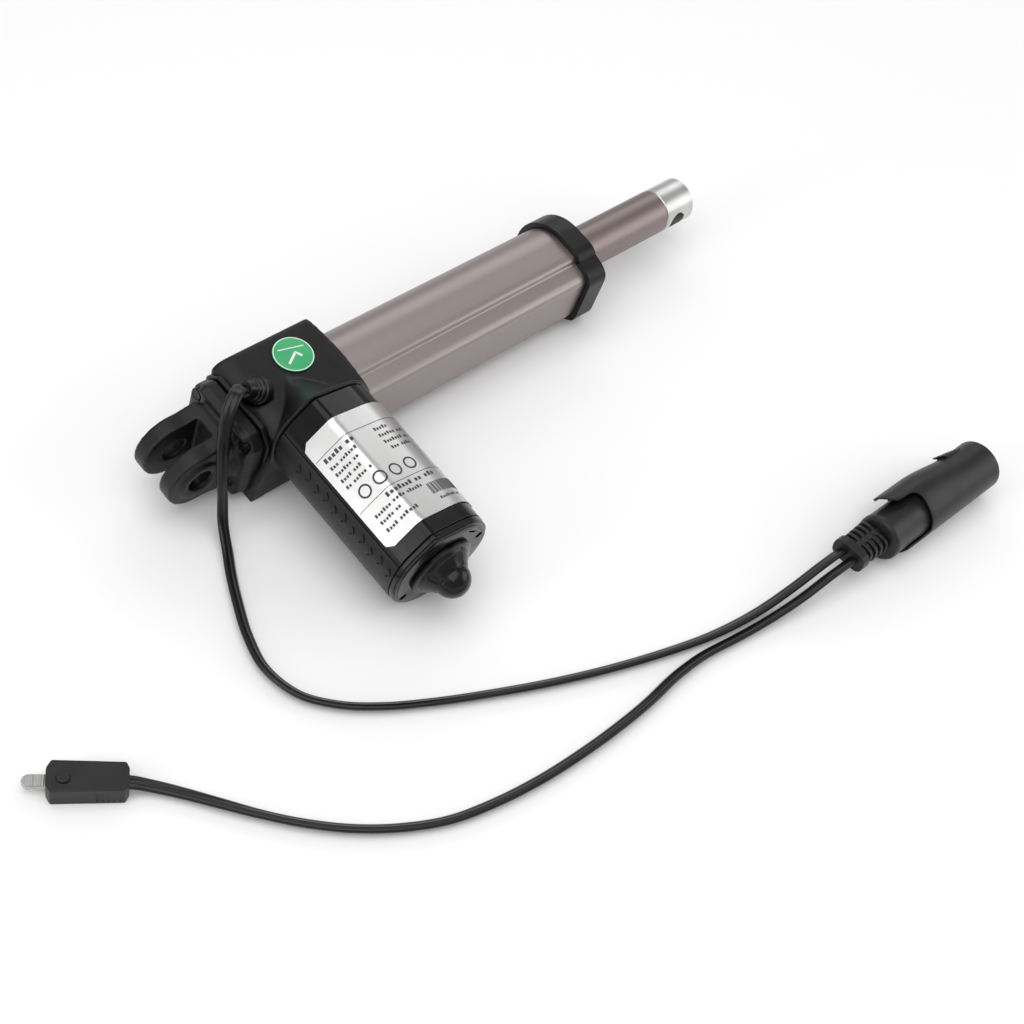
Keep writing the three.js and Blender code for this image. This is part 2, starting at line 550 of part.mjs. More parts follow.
/** The sleeve that slides over the plug: a ring with two long tabs and a bayonet slot. */
function addLockSleeve() {
  const { start, ring: ringStart, end, inner, outer, turn } = SLEEVE;
  const half = 9.5;
  const window = new THREE.Shape();
  window.moveTo(-outer, start - 1);
  window.quadraticCurveTo(-half, start, -half, start + 6);
  window.lineTo(-half, ringStart - 4);
  window.quadraticCurveTo(-half, ringStart, 4 - half, ringStart);
  window.lineTo(half - 4, ringStart);
  window.quadraticCurveTo(half, ringStart, half, ringStart - 4);
  window.lineTo(half, start + 6);
  window.quadraticCurveTo(half, start, outer, start - 1);
  window.closePath();
  const windows = prism(window, -2 * outer, 2 * outer, 4).rotateX(Math.PI / 2);
  const slot = block([-2 * outer, -1, 69], [0, 1, 75]);
  const steps = [0, 1, 2, 3, 4, 5, 6, 7, 8].map((i) => start + ((end - start) * i) / 8);
  const outside = steps.map((z) => [outer, z]);
  const inside = steps.map((z) => [inner, z]).reverse();
  const wall = turned([...outside, ...inside, outside[0]]);
  const sleeve = flareUpperTab(cut(wall, windows, slot));
  add(plug, "lock_sleeve", sleeve.rotateZ(turn), cordPlastic);
}

function addSmallPlug() {
  const { x, y, length, width, height, turn } = SMALL_PLUG;
  const small = new THREE.Group();
  small.position.set(x, y, 0);
  small.rotation.z = turn;
  actuator.add(small);
  const half = length / 2;
  const side = width / 2;
  const outline = roundedShape([[-half, -side + 3, 0.6], [1.2 - half, -side + 0.6, 0.6],
    [half - 1.6, -side, 0.6], [half, -side + 3, 0.8], [half, side - 3, 0.8], [half - 1.6, side, 0.6],
    [1.2 - half, side - 0.6, 0.6], [-half, side - 3, 0.6]]);
  const bladeSide = BLADE.width / 2;
  const low = (height - BLADE.thickness) / 2;
  const high = low + BLADE.thickness;
  const root = half - 5;
  const pocket = block([root, -bladeSide - GAP, low - GAP], [half + 1, bladeSide + GAP, high + GAP]);
  const bump = rod(2.4, height - 1, height + 0.7, SMALL_ROUND).translate(half - 6, 1, 0);
  add(small, "small_plug_body", cut(join(prism(outline, 0.1, height, 3), bump), pocket), cordPlastic);
  const blade = roundedShape([[root + GAP, -bladeSide, 0.1], [half + BLADE.reach, -bladeSide, 2.4],
    [half + BLADE.reach, bladeSide, 2.4], [root + GAP, bladeSide, 0.1]]);
  add(small, "small_plug_blade", prism(blade, low, high, 4), steel);
}

addOuterTube();
addPiston();
addScrew();
addSwitchBoard();
addHousing();
addClevis();
addTopFittings();
addMotorCover();
addMotor();

// the middle of the body's underside is the origin
const box = new THREE.Box3().setFromObject(body, true);
const middle = box.getCenter(new THREE.Vector3());
body.position.set(-middle.x, -middle.y, -box.min.z);

addCord("motor_cable", MOTOR_CABLE_ROUTE);
addCord("branch_cable", BRANCH_CABLE_ROUTE);
addPlug();
addLockSleeve();
addSmallPlug();

export default actuator;
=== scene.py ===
"""A recliner-chair linear actuator lying on a pale table, with its flat cables and plugs.

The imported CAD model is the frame. Plastics, aluminium, print and cables are built around it in metres; the
shapes below are drawn in millimetres in the actuator's own frames and placed by those frames' matrices.
"""
import json
import math

import bpy
from mathutils import Matrix, Vector


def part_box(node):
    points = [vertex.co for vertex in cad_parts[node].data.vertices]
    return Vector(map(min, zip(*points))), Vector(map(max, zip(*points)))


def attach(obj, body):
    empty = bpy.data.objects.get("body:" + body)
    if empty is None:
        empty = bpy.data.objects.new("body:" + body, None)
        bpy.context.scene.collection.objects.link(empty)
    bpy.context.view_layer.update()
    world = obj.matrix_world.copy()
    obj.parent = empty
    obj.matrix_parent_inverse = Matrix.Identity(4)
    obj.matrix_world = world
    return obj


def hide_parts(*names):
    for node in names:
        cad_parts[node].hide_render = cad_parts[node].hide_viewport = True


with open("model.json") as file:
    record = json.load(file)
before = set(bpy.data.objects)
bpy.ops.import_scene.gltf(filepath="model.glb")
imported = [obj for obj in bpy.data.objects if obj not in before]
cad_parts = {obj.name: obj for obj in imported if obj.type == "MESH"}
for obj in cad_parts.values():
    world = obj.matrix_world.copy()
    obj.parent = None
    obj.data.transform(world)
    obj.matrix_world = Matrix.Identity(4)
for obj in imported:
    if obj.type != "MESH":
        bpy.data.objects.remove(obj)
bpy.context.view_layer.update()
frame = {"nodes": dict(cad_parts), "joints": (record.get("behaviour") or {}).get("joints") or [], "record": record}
NODES = frame["nodes"]
MM = 0.001

# ---------------------------------------------------------------- the actuator's own frames
EAR_R = 14  # clevis ear, so the rear pin is this far in from the rear end
SEAM = 22.5  # where the motor meets the gearbox, from the screw axis
MOTOR_HEIGHT = 13  # motor axis above the screw axis
WHEEL_AT = 48  # motor axis along the screw
COVER_ROLL = math.radians(-11)
HOUSING_TOP = 20.5
OUTLET_AT = (0.5, HOUSING_TOP, 33)  # middle of the cable's outlet
OUTLET_LEAN = math.radians(50)
# turns the x axis to y, y to z and z to x
TURN_AXES = Matrix(((0, 0, 1, 0), (1, 0, 0, 0), (0, 1, 0, 0), (0, 0, 0, 1)))
TURN_BACK = TURN_AXES.transposed()

motor_axis = Vector(next(j for j in frame["joints"] if j["name"] == "motor_spin")["axis"])
lean = math.atan2(-motor_axis.z, -motor_axis.y)
screw_low, screw_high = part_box("lead_screw")
screw_middle = (screw_low + screw_high) / 2
rear_pin = Vector((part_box("rear_clevis")[0].x + EAR_R * MM, screw_middle.y, screw_middle.z))
BODY = Matrix.Translation(rear_pin) @ Matrix.Rotation(lean, 4, "X") @ Matrix.Scale(MM, 4)
# z along the screw from the rear pin, x away from the motor, y up
LINE = BODY @ TURN_AXES
# z out from the gearbox along the motor shaft, y up
MOTOR = LINE @ Matrix.Translation((-SEAM, MOTOR_HEIGHT, WHEEL_AT)) @ Matrix.Rotation(-math.pi / 2, 4, "Y")
COVER = MOTOR @ Matrix.Rotation(COVER_ROLL, 4, "Z")
OUTLET = LINE @ Matrix.Translation(OUTLET_AT) @ Matrix.Rotation(-math.pi / 2 - OUTLET_LEAN, 4, "X")

plug_low, plug_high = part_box("plug_body")
plug_axis = (plug_low + plug_high) / 2
# z along the plug from its cable end, y across, -x up
PLUG = (Matrix.Translation((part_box("plug_strain_relief")[0].x, plug_axis.y, plug_axis.z))
        @ Matrix.Rotation(math.pi / 2, 4, "Y") @ Matrix.Scale(MM, 4))
SMALL_TURN = math.radians(143)
small_low, small_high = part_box("small_plug_body")
SMALL_PLUG = (Matrix.Translation(((small_low.x + small_high.x) / 2, (small_low.y + small_high.y) / 2, 0))
              @ Matrix.Rotation(SMALL_TURN, 4, "Z") @ Matrix.Scale(MM, 4))

# ---------------------------------------------------------------- camera and light
CAMERA_AT = Vector((-0.4136, -0.3005, 0.5539))
CAMERA_RIGHT = Vector((0.7210, -0.6684, 0.1826))
CAMERA_UP = Vector((0.4456, 0.6492, 0.6164))
CAMERA_LENS = 62.4
WORLD_STRENGTH = 0.42


def make_camera():
    back = CAMERA_RIGHT.cross(CAMERA_UP).normalized()
    right = CAMERA_UP.cross(back).normalized()
    camera = bpy.data.objects.new("camera", bpy.data.cameras.new("camera"))
    camera.data.sensor_width = 36
    camera.data.lens = CAMERA_LENS
    camera.data.clip_start = 0.01
    axes = Matrix((right, back.cross(right), back)).transposed()
    camera.matrix_world = Matrix.Translation(CAMERA_AT) @ axes.to_4x4()
    bpy.context.scene.collection.objects.link(camera)
    bpy.context.scene.camera = camera


def make_light(name, at, size, power):
    light = bpy.data.lights.new(name, "AREA")
    light.shape = "RECTANGLE"
    light.size, light.size_y = size
    light.energy = power
    obj = bpy.data.objects.new(name, light)
    obj.location = at
    obj.rotation_euler = (Vector((0, 0, 0)) - Vector(at)).to_track_quat("-Z", "Y").to_euler()
    bpy.context.scene.collection.objects.link(obj)


def make_studio():
    world = bpy.data.worlds.new("studio")
    bpy.context.scene.world = world
    world.use_nodes = True
    background = world.node_tree.nodes["Background"]
    background.inputs["Color"].default_value = (1, 1, 1, 1)
    background.inputs["Strength"].default_value = WORLD_STRENGTH
    make_light("overhead", (-0.35, -0.1, 1.2), (1.4, 1.4), 11)
    make_light("back", (0.75, 0.75, 0.75), (1.1, 0.4), 2.6)
    make_light("side", (0.9, -0.7, 0.5), (0.9, 0.7), 3.6)
    make_light("low_left", (-1.0, 0.1, 0.3), (0.3, 0.7), 2)
    bpy.context.scene.view_settings.view_transform = "Standard"


# ---------------------------------------------------------------- materials
PATCH_CYCLES = 90  # per metre, of a plastic's uneven colour
GLOSS_CYCLES = 160  # per metre, of its uneven gloss
METAL_CYCLES = 60  # per metre, of a metal's uneven colour
GRAIN_DEPTH = 0.00006
LINE_DEPTH = 0.00004


def new_material(name, color, roughness, metallic=0.0, specular=0.5):
    """A Principled material with its even values on the shader's own sockets."""
    material = bpy.data.materials.new(name)
    material.use_nodes = True
    shader = material.node_tree.nodes["Principled BSDF"]
    shader.inputs["Base Color"].default_value = (*color, 1)
    shader.inputs["Roughness"].default_value = roughness
    shader.inputs["Metallic"].default_value = metallic
    shader.inputs["Specular IOR Level"].default_value = specular
    return material


def noise(material, scale, detail=3.0, stretch=(1, 1, 1)):
    """A noise texture in the object's own metres; scale counts cycles per metre."""
    tree = material.node_tree
    place = tree.nodes.new("ShaderNodeTexCoord")
    mapping = tree.nodes.new("ShaderNodeMapping")
    mapping.inputs["Scale"].default_value = stretch
    texture = tree.nodes.new("ShaderNodeTexNoise")
    texture.inputs["Scale"].default_value = scale
    texture.inputs["Detail"].default_value = detail
    tree.links.new(place.outputs["Object"], mapping.inputs["Vector"])
    tree.links.new(mapping.outputs["Vector"], texture.inputs["Vector"])
    return texture.outputs["Fac"]


def vary_color(material, fac, low, high):
    """Colours the surface between two colours by a factor."""
    tree = material.node_tree
    ramp = tree.nodes.new("ShaderNodeValToRGB")
    ramp.color_ramp.elements[0].position = 0.3
    ramp.color_ramp.elements[1].position = 0.7
    ramp.color_ramp.elements[0].color = (*low, 1)
    ramp.color_ramp.elements[1].color = (*high, 1)
    tree.links.new(fac, ramp.inputs["Fac"])
    tree.links.new(ramp.outputs["Color"], tree.nodes["Principled BSDF"].inputs["Base Color"])


def vary_roughness(material, fac, low, high):
    """Moves the roughness between two values by a factor."""
    tree = material.node_tree
    spread = tree.nodes.new("ShaderNodeMapRange")
    spread.inputs["To Min"].default_value = low
    spread.inputs["To Max"].default_value = high
    tree.links.new(fac, spread.inputs["Value"])
    tree.links.new(spread.outputs["Result"], tree.nodes["Principled BSDF"].inputs["Roughness"])


def add_bump(material, fac, strength, depth):
    """Bumps the shading by a factor, as if it were a relief of a depth in metres."""
    tree = material.node_tree
    bump = tree.nodes.new("ShaderNodeBump")
    bump.inputs["Strength"].default_value = strength
    bump.inputs["Distance"].default_value = depth
    tree.links.new(fac, bump.inputs["Height"])
    tree.links.new(bump.outputs["Normal"], tree.nodes["Principled BSDF"].inputs["Normal"])


def moulded_plastic(name, low, high, roughness, grain=3500, bump=0.25, specular=0.5):
    """Plastic with a fine grain, slightly uneven in colour and gloss."""
    material = new_material(name, high, roughness, specular=specular)
    vary_color(material, noise(material, PATCH_CYCLES), low, high)
    vary_roughness(material, noise(material, GLOSS_CYCLES), roughness - 0.07, roughness + 0.07)
    add_bump(material, noise(material, grain, 2.0), bump, GRAIN_DEPTH)
    return material


def drawn_metal(name, low, high, roughness, along=(0.02, 1, 1), grain=2600, bump=0.12):
    """Metal with fine lines drawn along one axis."""
    material = new_material(name, high, roughness, metallic=1.0)
    lines = noise(material, grain, 3.0, along)
    vary_color(material, noise(material, METAL_CYCLES, 2.0, along), low, high)
    vary_roughness(material, lines, roughness - 0.05, roughness + 0.06)
    add_bump(material, lines, bump, LINE_DEPTH)
    return material


housing_black = moulded_plastic("housing_black", (0.004, 0.004, 0.0043), (0.008, 0.008, 0.0083), 0.4,
                                specular=0.3)
gloss_black = moulded_plastic("gloss_black", (0.003, 0.003, 0.0032), (0.005, 0.0049, 0.0048), 0.17,
                              grain=900, bump=0.05, specular=0.25)
rubber_black = moulded_plastic("rubber_black", (0.003, 0.003, 0.0033), (0.006, 0.006, 0.006), 0.2,
                               grain=1500, bump=0.06, specular=0.32)
cord_black = moulded_plastic("cord_black", (0.003, 0.003, 0.0033), (0.006, 0.006, 0.0063), 0.32,
                             grain=1800, bump=0.12, specular=0.4)
plug_black = moulded_plastic("plug_black", (0.009, 0.009, 0.0095), (0.014, 0.014, 0.015), 0.42,
                             grain=4200, bump=0.2, specular=0.35)
taupe_anodised = drawn_metal("taupe_anodised", (0.33, 0.287, 0.279), (0.37, 0.324, 0.316), 0.43)
brown_anodised = drawn_metal("brown_anodised", (0.24, 0.195, 0.192), (0.275, 0.225, 0.222), 0.42)
bare_aluminium = drawn_metal("bare_aluminium", (0.50, 0.50, 0.495), (0.60, 0.60, 0.59), 0.36,
                             along=(1, 0.03, 0.03))
steel = drawn_metal("steel", (0.42, 0.42, 0.43), (0.55, 0.55, 0.56), 0.34)
tinned = drawn_metal("tinned", (0.46, 0.45, 0.43), (0.58, 0.57, 0.55), 0.4)
black_screw = drawn_metal("black_screw", (0.018, 0.018, 0.019), (0.028, 0.028, 0.03), 0.45)
bronze = drawn_metal("bronze", (0.50, 0.31, 0.14), (0.62, 0.40, 0.20), 0.34)
copper = drawn_metal("copper", (0.55, 0.22, 0.11), (0.70, 0.31, 0.17), 0.32)
white_nylon = moulded_plastic("white_nylon", (0.70, 0.68, 0.61), (0.80, 0.78, 0.72), 0.45)
ferrite = moulded_plastic("ferrite", (0.045, 0.045, 0.05), (0.07, 0.07, 0.075), 0.7)
carbon = moulded_plastic("carbon", (0.02, 0.02, 0.022), (0.035, 0.035, 0.037), 0.75)
board_green = moulded_plastic("board_green", (0.02, 0.14, 0.06), (0.03, 0.20, 0.09), 0.4)
label_silver = drawn_metal("label_silver", (0.62, 0.62, 0.615), (0.68, 0.68, 0.675), 0.34,
                           along=(1, 0.02, 0.02), grain=1500, bump=0.03)
label_ink = moulded_plastic("label_ink", (0.03, 0.03, 0.032), (0.05, 0.05, 0.052), 0.5,
                            grain=6000, bump=0.03)
sticker_green = moulded_plastic("sticker_green", (0.032, 0.35, 0.125), (0.04, 0.40, 0.15), 0.45,
                                grain=6000, bump=0.03)
sticker_white = moulded_plastic("sticker_white", (0.72, 0.80, 0.74), (0.80, 0.86, 0.81), 0.5,
                                grain=6000, bump=0.03)

SLOT_MATERIALS = {
    "housing_black": housing_black, "gloss_black": gloss_black, "rubber_black": rubber_black,
    "cord_black": cord_black, "taupe_anodised": taupe_anodised, "brown_anodised": brown_anodised,
    "bare_aluminium": bare_aluminium, "steel": steel, "bronze": bronze, "copper": copper,
    "white_nylon": white_nylon, "ferrite": ferrite, "carbon": carbon, "board_green": board_green,
    "silver_label": label_silver, "green_sticker": sticker_green,
}
SLOT_OF = {part["node"]: part["material_slot"] for part in frame["record"]["subparts"]}
BODIES = frame["record"]["behaviour"]["bodies"]
BODY_OF = {node: body for body, members in BODIES.items() for node in members}


def finish_cad_nodes():
    """Gives every CAD node its procedural material, with soft shading across its gentle edges."""
    for name, obj in NODES.items():
        obj.data.materials.clear()
        outer_screw = name.startswith(("clevis_screw", "cover_screw"))
        obj.data.materials.append(black_screw if outer_screw else SLOT_MATERIALS[SLOT_OF[name]])
        obj.data.set_sharp_from_angle(angle=math.radians(32))
        obj.data.polygons.foreach_set("use_smooth", [True] * len(obj.data.polygons))


# ---------------------------------------------------------------- mesh helpers
def towards(point, target, distance):
    """A point a distance towards the target, but never half way there."""
    way = Vector(target) - point
    return point + way.normalized() * min(distance, way.length * 0.49)


def corner_arc(before, corner, after, radius, steps):
    """Points of a rounded corner, as a quadratic curve between the two sides."""
    corner = Vector(corner)
    start = towards(corner, before, radius)
    end = towards(corner, after, radius)
    for i in range(steps + 1):
        t = i / steps
        yield start * (1 - t) ** 2 + corner * 2 * t * (1 - t) + end * t * t


def rounded_loop(corners, steps=8):
    """A closed outline through corners (x, y, radius)."""
    loop = []
    for i, (x, y, radius) in enumerate(corners):
        before = corners[i - 1][:2]
        after = corners[(i + 1) % len(corners)][:2]
        loop.extend(corner_arc(before, (x, y), after, radius, steps) if radius else [Vector((x, y))])
    return loop


def circle(radius, segments=96):
    angles = [2 * math.pi * i / segments for i in range(segments)]
    return [Vector((radius * math.cos(angle), radius * math.sin(angle))) for angle in angles]


def rectangle(x0, y0, x1, y1):
    return [Vector((x0, y0)), Vector((x1, y0)), Vector((x1, y1)), Vector((x0, y1))]


def grown(loop, by):
    """The outline moved outwards by a distance along its normals."""
    moved = []
    for i, point in enumerate(loop):
        side = loop[(i + 1) % len(loop)] - loop[i - 1]
        moved.append(point + Vector((side.y, -side.x)).normalized() * by)
    return moved


def at_height(loop, z):
    return [Vector((p.x, p.y, z)) for p in loop]


def loft_mesh(name, rings, closed=False):
    """A mesh through rings of equal length, capped at both ends or, if closed, joined end to start."""
    count = len(rings[0])
    faces = []
    for r in range(len(rings) if closed else len(rings) - 1):
        low = r * count
        high = (r + 1) % len(rings) * count
        for i in range(count):
            j = (i + 1) % count
            faces.append((low + i, low + j, high + j, high + i))
    if not closed:
        faces.append(tuple(reversed(range(count))))
        faces.append(tuple(range((len(rings) - 1) * count, len(rings) * count)))
    mesh = bpy.data.meshes.new(name)
    mesh.from_pydata([tuple(p) for ring in rings for p in ring], [], faces)
    mesh.update()
    return mesh


def extruded(name, loop, z0, z1):
    return loft_mesh(name, [at_height(loop, z0), at_height(loop, z1)])


def turned(name, profile, segments=96, closed=False):
    """A mesh turned about z from (radius, z) pairs."""
    return loft_mesh(name, [at_height(circle(r, segments), z) for r, z in profile], closed)


SHARP_ANGLE = math.radians(40)  # a piece's edges from this angle up stay crisp


def add_piece(name, mesh, place, material, body, replaces=(), bevel=0.0):
    """Puts a mesh in place as a finished piece that rides on a CAD body."""
    mesh.transform(place)
    mesh.materials.clear()
    mesh.materials.append(material)
    mesh.polygons.foreach_set("use_smooth", [True] * len(mesh.polygons))
    obj = bpy.data.objects.new(name, mesh)
    bpy.context.scene.collection.objects.link(obj)
    if bevel:
        edge = obj.modifiers.new("edges", "BEVEL")
        edge.width = bevel * MM
        edge.segments = 3
        edge.limit_method = "ANGLE"
        edge.angle_limit = math.radians(30)
        obj.modifiers.new("normals", "WEIGHTED_NORMAL").keep_sharp = True
    else:
        mesh.set_sharp_from_angle(angle=SHARP_ANGLE)
    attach(obj, body)
    if replaces:
        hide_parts(*replaces)
    return obj


def bake_modifiers(obj):
    """Applies the object's modifiers to its mesh."""
    bpy.context.view_layer.update()
    evaluated = obj.evaluated_get(bpy.context.evaluated_depsgraph_get())
    mesh = bpy.data.meshes.new_from_object(evaluated)
    obj.modifiers.clear()
    obj.data = mesh


def carve(obj, mesh, place, operation="DIFFERENCE"):
    """Cuts a mesh out of a piece, or joins it on."""
    mesh.transform(place)
    if place.determinant() < 0:
        mesh.flip_normals()  # a mirrored placement has turned the mesh inside out
    tool = bpy.data.objects.new("tool", mesh)
    bpy.context.scene.collection.objects.link(tool)
    cut = obj.modifiers.new("cut", "BOOLEAN")
    cut.object = tool
    cut.operation = operation
    cut.solver = "EXACT"
    bake_modifiers(obj)
    bpy.data.objects.remove(tool)


def moulded(node, material, voxel, smoothing, extras=(), cuts=()):
    """A CAD node as a moulded piece: details joined on or cut out, then all edges softened."""
    mesh = NODES[node].data.copy()
    mesh.name = node + "_moulded"
    obj = bpy.data.objects.new(node + "_moulded", mesh)
    bpy.context.scene.collection.objects.link(obj)
    for detail, place in extras:
        carve(obj, detail, place, "UNION")
    for detail, place in cuts:
        carve(obj, detail, place)
    remesh = obj.modifiers.new("skin", "REMESH")
    remesh.mode = "VOXEL"
    remesh.voxel_size = voxel * MM
    soften = obj.modifiers.new("soften", "SMOOTH")
    soften.factor = 0.5
    soften.iterations = smoothing
    bake_modifiers(obj)
    obj.data.materials.clear()
    obj.data.materials.append(material)
    obj.data.polygons.foreach_set("use_smooth", [True] * len(obj.data.polygons))
    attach(obj, BODY_OF[node])
    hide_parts(node)
    return obj


# ---------------------------------------------------------------- cords
CORD_WIDTH = 5.6
CORD_THICKNESS = 2.7
VALLEY_DEPTH = 0.22  # share of the thickness
VALLEY_WIDTH = 0.22  # share of the half width
CORD_TWIST = math.radians(42)  # the flat cable leans towards its inner side once it lies down
# the routes are the CAD's, in metres
MOTOR_CABLE_ROUTE = [
    (-0.1093, 0.0419, 0.0489), (-0.112, 0.0411, 0.051), (-0.1158, 0.0388, 0.052),
    (-0.1202, 0.036, 0.05), (-0.1244, 0.0329, 0.0445), (-0.1278, 0.029, 0.038),
    (-0.1297, 0.0262, 0.027), (-0.1308, 0.0234, 0.016), (-0.1334, 0.0188, 0.0075),
    (-0.1378, 0.0098, 0.0032), (-0.143, 0.0005, 0.0023), (-0.149, -0.0115, 0.0023),
    (-0.155, -0.0255, 0.0023), (-0.1585, -0.0405, 0.0023), (-0.1555, -0.0565, 0.0023),
    (-0.1465, -0.0685, 0.0023), (-0.134, -0.0785, 0.0023), (-0.117, -0.0885, 0.0023),
    (-0.097, -0.0985, 0.0023), (-0.075, -0.1085, 0.0023), (-0.052, -0.1175, 0.0023),
    (-0.028, -0.1253, 0.0023), (-0.006, -0.1309, 0.0023), (0.016, -0.1342, 0.0032),
    (0.0355, -0.1359, 0.0068), (0.05, -0.1369, 0.0112), (0.0617, -0.1375, 0.0126)]
BRANCH_CABLE_ROUTE = [
    (-0.2253, -0.0514, 0.0044), (-0.22, -0.0562, 0.003), (-0.213, -0.0645, 0.0023),
    (-0.205, -0.0755, 0.0023), (-0.197, -0.0865, 0.0023), (-0.1875, -0.098, 0.0023),
    (-0.175, -0.1103, 0.0023), (-0.161, -0.1205, 0.0023), (-0.145, -0.1287, 0.0023),
    (-0.127, -0.1335, 0.0023), (-0.1075, -0.1365, 0.0023), (-0.088, -0.1378, 0.0023),
    (-0.068, -0.138, 0.0023), (-0.0505, -0.1372, 0.0023), (-0.033, -0.1353, 0.0023),
    (-0.017, -0.1353, 0.0023), (-0.001, -0.1374, 0.0023), (0.014, -0.1394, 0.0032),
    (0.033, -0.1416, 0.0068), (0.048, -0.1426, 0.011), (0.0617, -0.1432, 0.0126)]
# both cables run on a little inside their plugs
MOTOR_CABLE_END = (0.0745, -0.139, 0.0126)
BRANCH_CABLE_START = (-0.2317, -0.0466, 0.0046)


def spline(points, steps=8):
    """A centripetal Catmull-Rom curve through the points, as the CAD's cords follow."""
    route = [Vector(p) for p in points]
    ends = [route[0] * 2 - route[1], *route, route[-1] * 2 - route[-2]]
    path = []
    for p0, p1, p2, p3 in zip(ends, ends[1:], ends[2:], ends[3:]):
        t1 = math.sqrt((p1 - p0).length)
        t2 = t1 + math.sqrt((p2 - p1).length)
        t3 = t2 + math.sqrt((p3 - p2).length)
        for i in range(steps):
            t = t1 + (t2 - t1) * i / steps
            a1 = p0 * ((t1 - t) / t1) + p1 * (t / t1)
            a2 = p1 * ((t2 - t) / (t2 - t1)) + p2 * ((t - t1) / (t2 - t1))
            a3 = p2 * ((t3 - t) / (t3 - t2)) + p3 * ((t - t2) / (t3 - t2))
            b1 = a1 * ((t2 - t) / t2) + a2 * (t / t2)
            b2 = a2 * ((t3 - t) / (t3 - t1)) + a3 * ((t - t1) / (t3 - t1))
            path.append(b1 * ((t2 - t) / (t2 - t1)) + b2 * ((t - t1) / (t2 - t1)))
    path.append(route[-1])
    return path


def twin_section(segments=28):
    """The flat twin cable's section in metres: two cores side by side, a shallow valley between."""
    points = []
    for i in range(segments):
        angle = 2 * math.pi * i / segments
        across = math.cos(angle)
        up = math.copysign(abs(math.sin(angle)) ** 0.8, math.sin(angle))
        valley = 1 - VALLEY_DEPTH * math.exp(-(across / VALLEY_WIDTH) ** 2)
        points.append((across * CORD_WIDTH / 2 * MM, up * CORD_THICKNESS / 2 * valley * MM))
    return points


def add_cord(name, route):
    """A flat cable along a route, in place of the CAD's round one."""
    path = spline(route)
    section = twin_section()
    rings = []
    for i, point in enumerate(path):
        along = (path[min(i + 1, len(path) - 1)] - path[max(i - 1, 0)]).normalized()
        side = along.cross(Vector((0, 0, 1))).normalized()
        side.rotate(Matrix.Rotation(-CORD_TWIST * min(1, 4 * i / len(path)), 3, along))
        rise = side.cross(along)
        rings.append([point + side * x + rise * y for x, y in section])
    obj = add_piece(name + "_flat", loft_mesh(name, rings), Matrix(), cord_black, "actuator",
                    (name,))


# ---------------------------------------------------------------- profile, collar and rod
PROFILE_R = 18
PROFILE_START = 62
PROFILE_END = 204.8
BORE_R = 15.3
CHANNEL_DEPTH = 18.7
CHANNEL_HALF = 8
COLLAR_START = 197.5
COLLAR_FACE = 205.1  # where the profile's end stops inside the collar
COLLAR_END = 207.5
COLLAR_HOLE_R = 10.6
COLLAR_WALL = 2.6
COLLAR_PLAY = 0.35
ROD_R = 10
ROD_BORE_R = 8.3
ROD_START = 94
ROD_END = 265.5
CROSS_HOLE_AT = 273
CROSS_HOLE_R = 4.3


def profile_loop(grow=0.0):
    """The profile's section: round on the far side, a stepped box on the motor side."""
    upper = [(-9.5, 17.7, 1.5), (-11.4, 16.9, 0.8), (-12.4, 15.2, 0.6), (-18, 13.7, 0.8), (-20.3, 12.3, 1.2),
             (-21, 10.3, 1.2)]
    lower = [(x, -y, r) for x, y, r in reversed(upper)]
    arc = [(PROFILE_R * math.cos(a), PROFILE_R * math.sin(a), 0)
           for a in (math.pi * (i / 24 - 0.5) for i in range(25))]
    return grown(rounded_loop([*arc, *upper, *lower], 4), grow)


def bore_point(outer):
    """The point of the bore, a circle with a cable channel beside it, in the direction of an outer point."""
    way = outer.normalized()
    if way.x > -math.sqrt(1 - (CHANNEL_HALF / BORE_R) ** 2):
        return way * BORE_R
    return way * max(BORE_R, min(CHANNEL_DEPTH / -way.x, CHANNEL_HALF / max(abs(way.y), 0.001)))


def add_profile():
    outer = profile_loop()
    inner = [bore_point(p) for p in outer]
    rings = [at_height(outer, PROFILE_START), at_height(outer, PROFILE_END),
             at_height(inner, PROFILE_END), at_height(inner, PROFILE_START)]
    add_piece("profile", loft_mesh("profile", rings, closed=True), LINE, taupe_anodised, "actuator",
              ("outer_tube",), bevel=0.15)


def add_collar():
    outer = profile_loop(COLLAR_WALL)
    seat = profile_loop(COLLAR_PLAY)
    opening = [p.normalized() * COLLAR_HOLE_R for p in outer]
    rings = [at_height(outer, COLLAR_START), at_height(outer, COLLAR_END),
             at_height(opening, COLLAR_END), at_height(opening, COLLAR_FACE),
             at_height(seat, COLLAR_FACE), at_height(seat, COLLAR_START)]
    add_piece("collar", loft_mesh("collar", rings, closed=True), LINE, housing_black, "actuator",
              ("end_collar",), bevel=0.8)


def add_rod():
    """The rod's tube and its bare end with the cross hole."""
    tube = [(ROD_BORE_R, ROD_START), (ROD_R, ROD_START), (ROD_R, ROD_END), (ROD_BORE_R, ROD_END)]
    add_piece("rod", turned("rod", tube, closed=True), LINE, brown_anodised, "rod",
              ("piston_tube",), bevel=0.12)
    end = [(8, 249.5), (8, 265.8), (9.75, 265.8), (ROD_R, 266.2), (ROD_R, 282.7), (9.2, 283.5)]
    tip = add_piece("tip", turned("tip", end), LINE, bare_aluminium, "rod", ("rod_end",))
    hole = turned("hole", [(CROSS_HOLE_R, -20), (CROSS_HOLE_R, 20)], 64)
    across = Matrix.Translation((0, 0, CROSS_HOLE_AT)) @ Matrix.Rotation(math.pi / 2, 4, "Y")
    carve(tip, hole, LINE @ across)
    tip.data.set_sharp_from_angle(angle=math.radians(30))


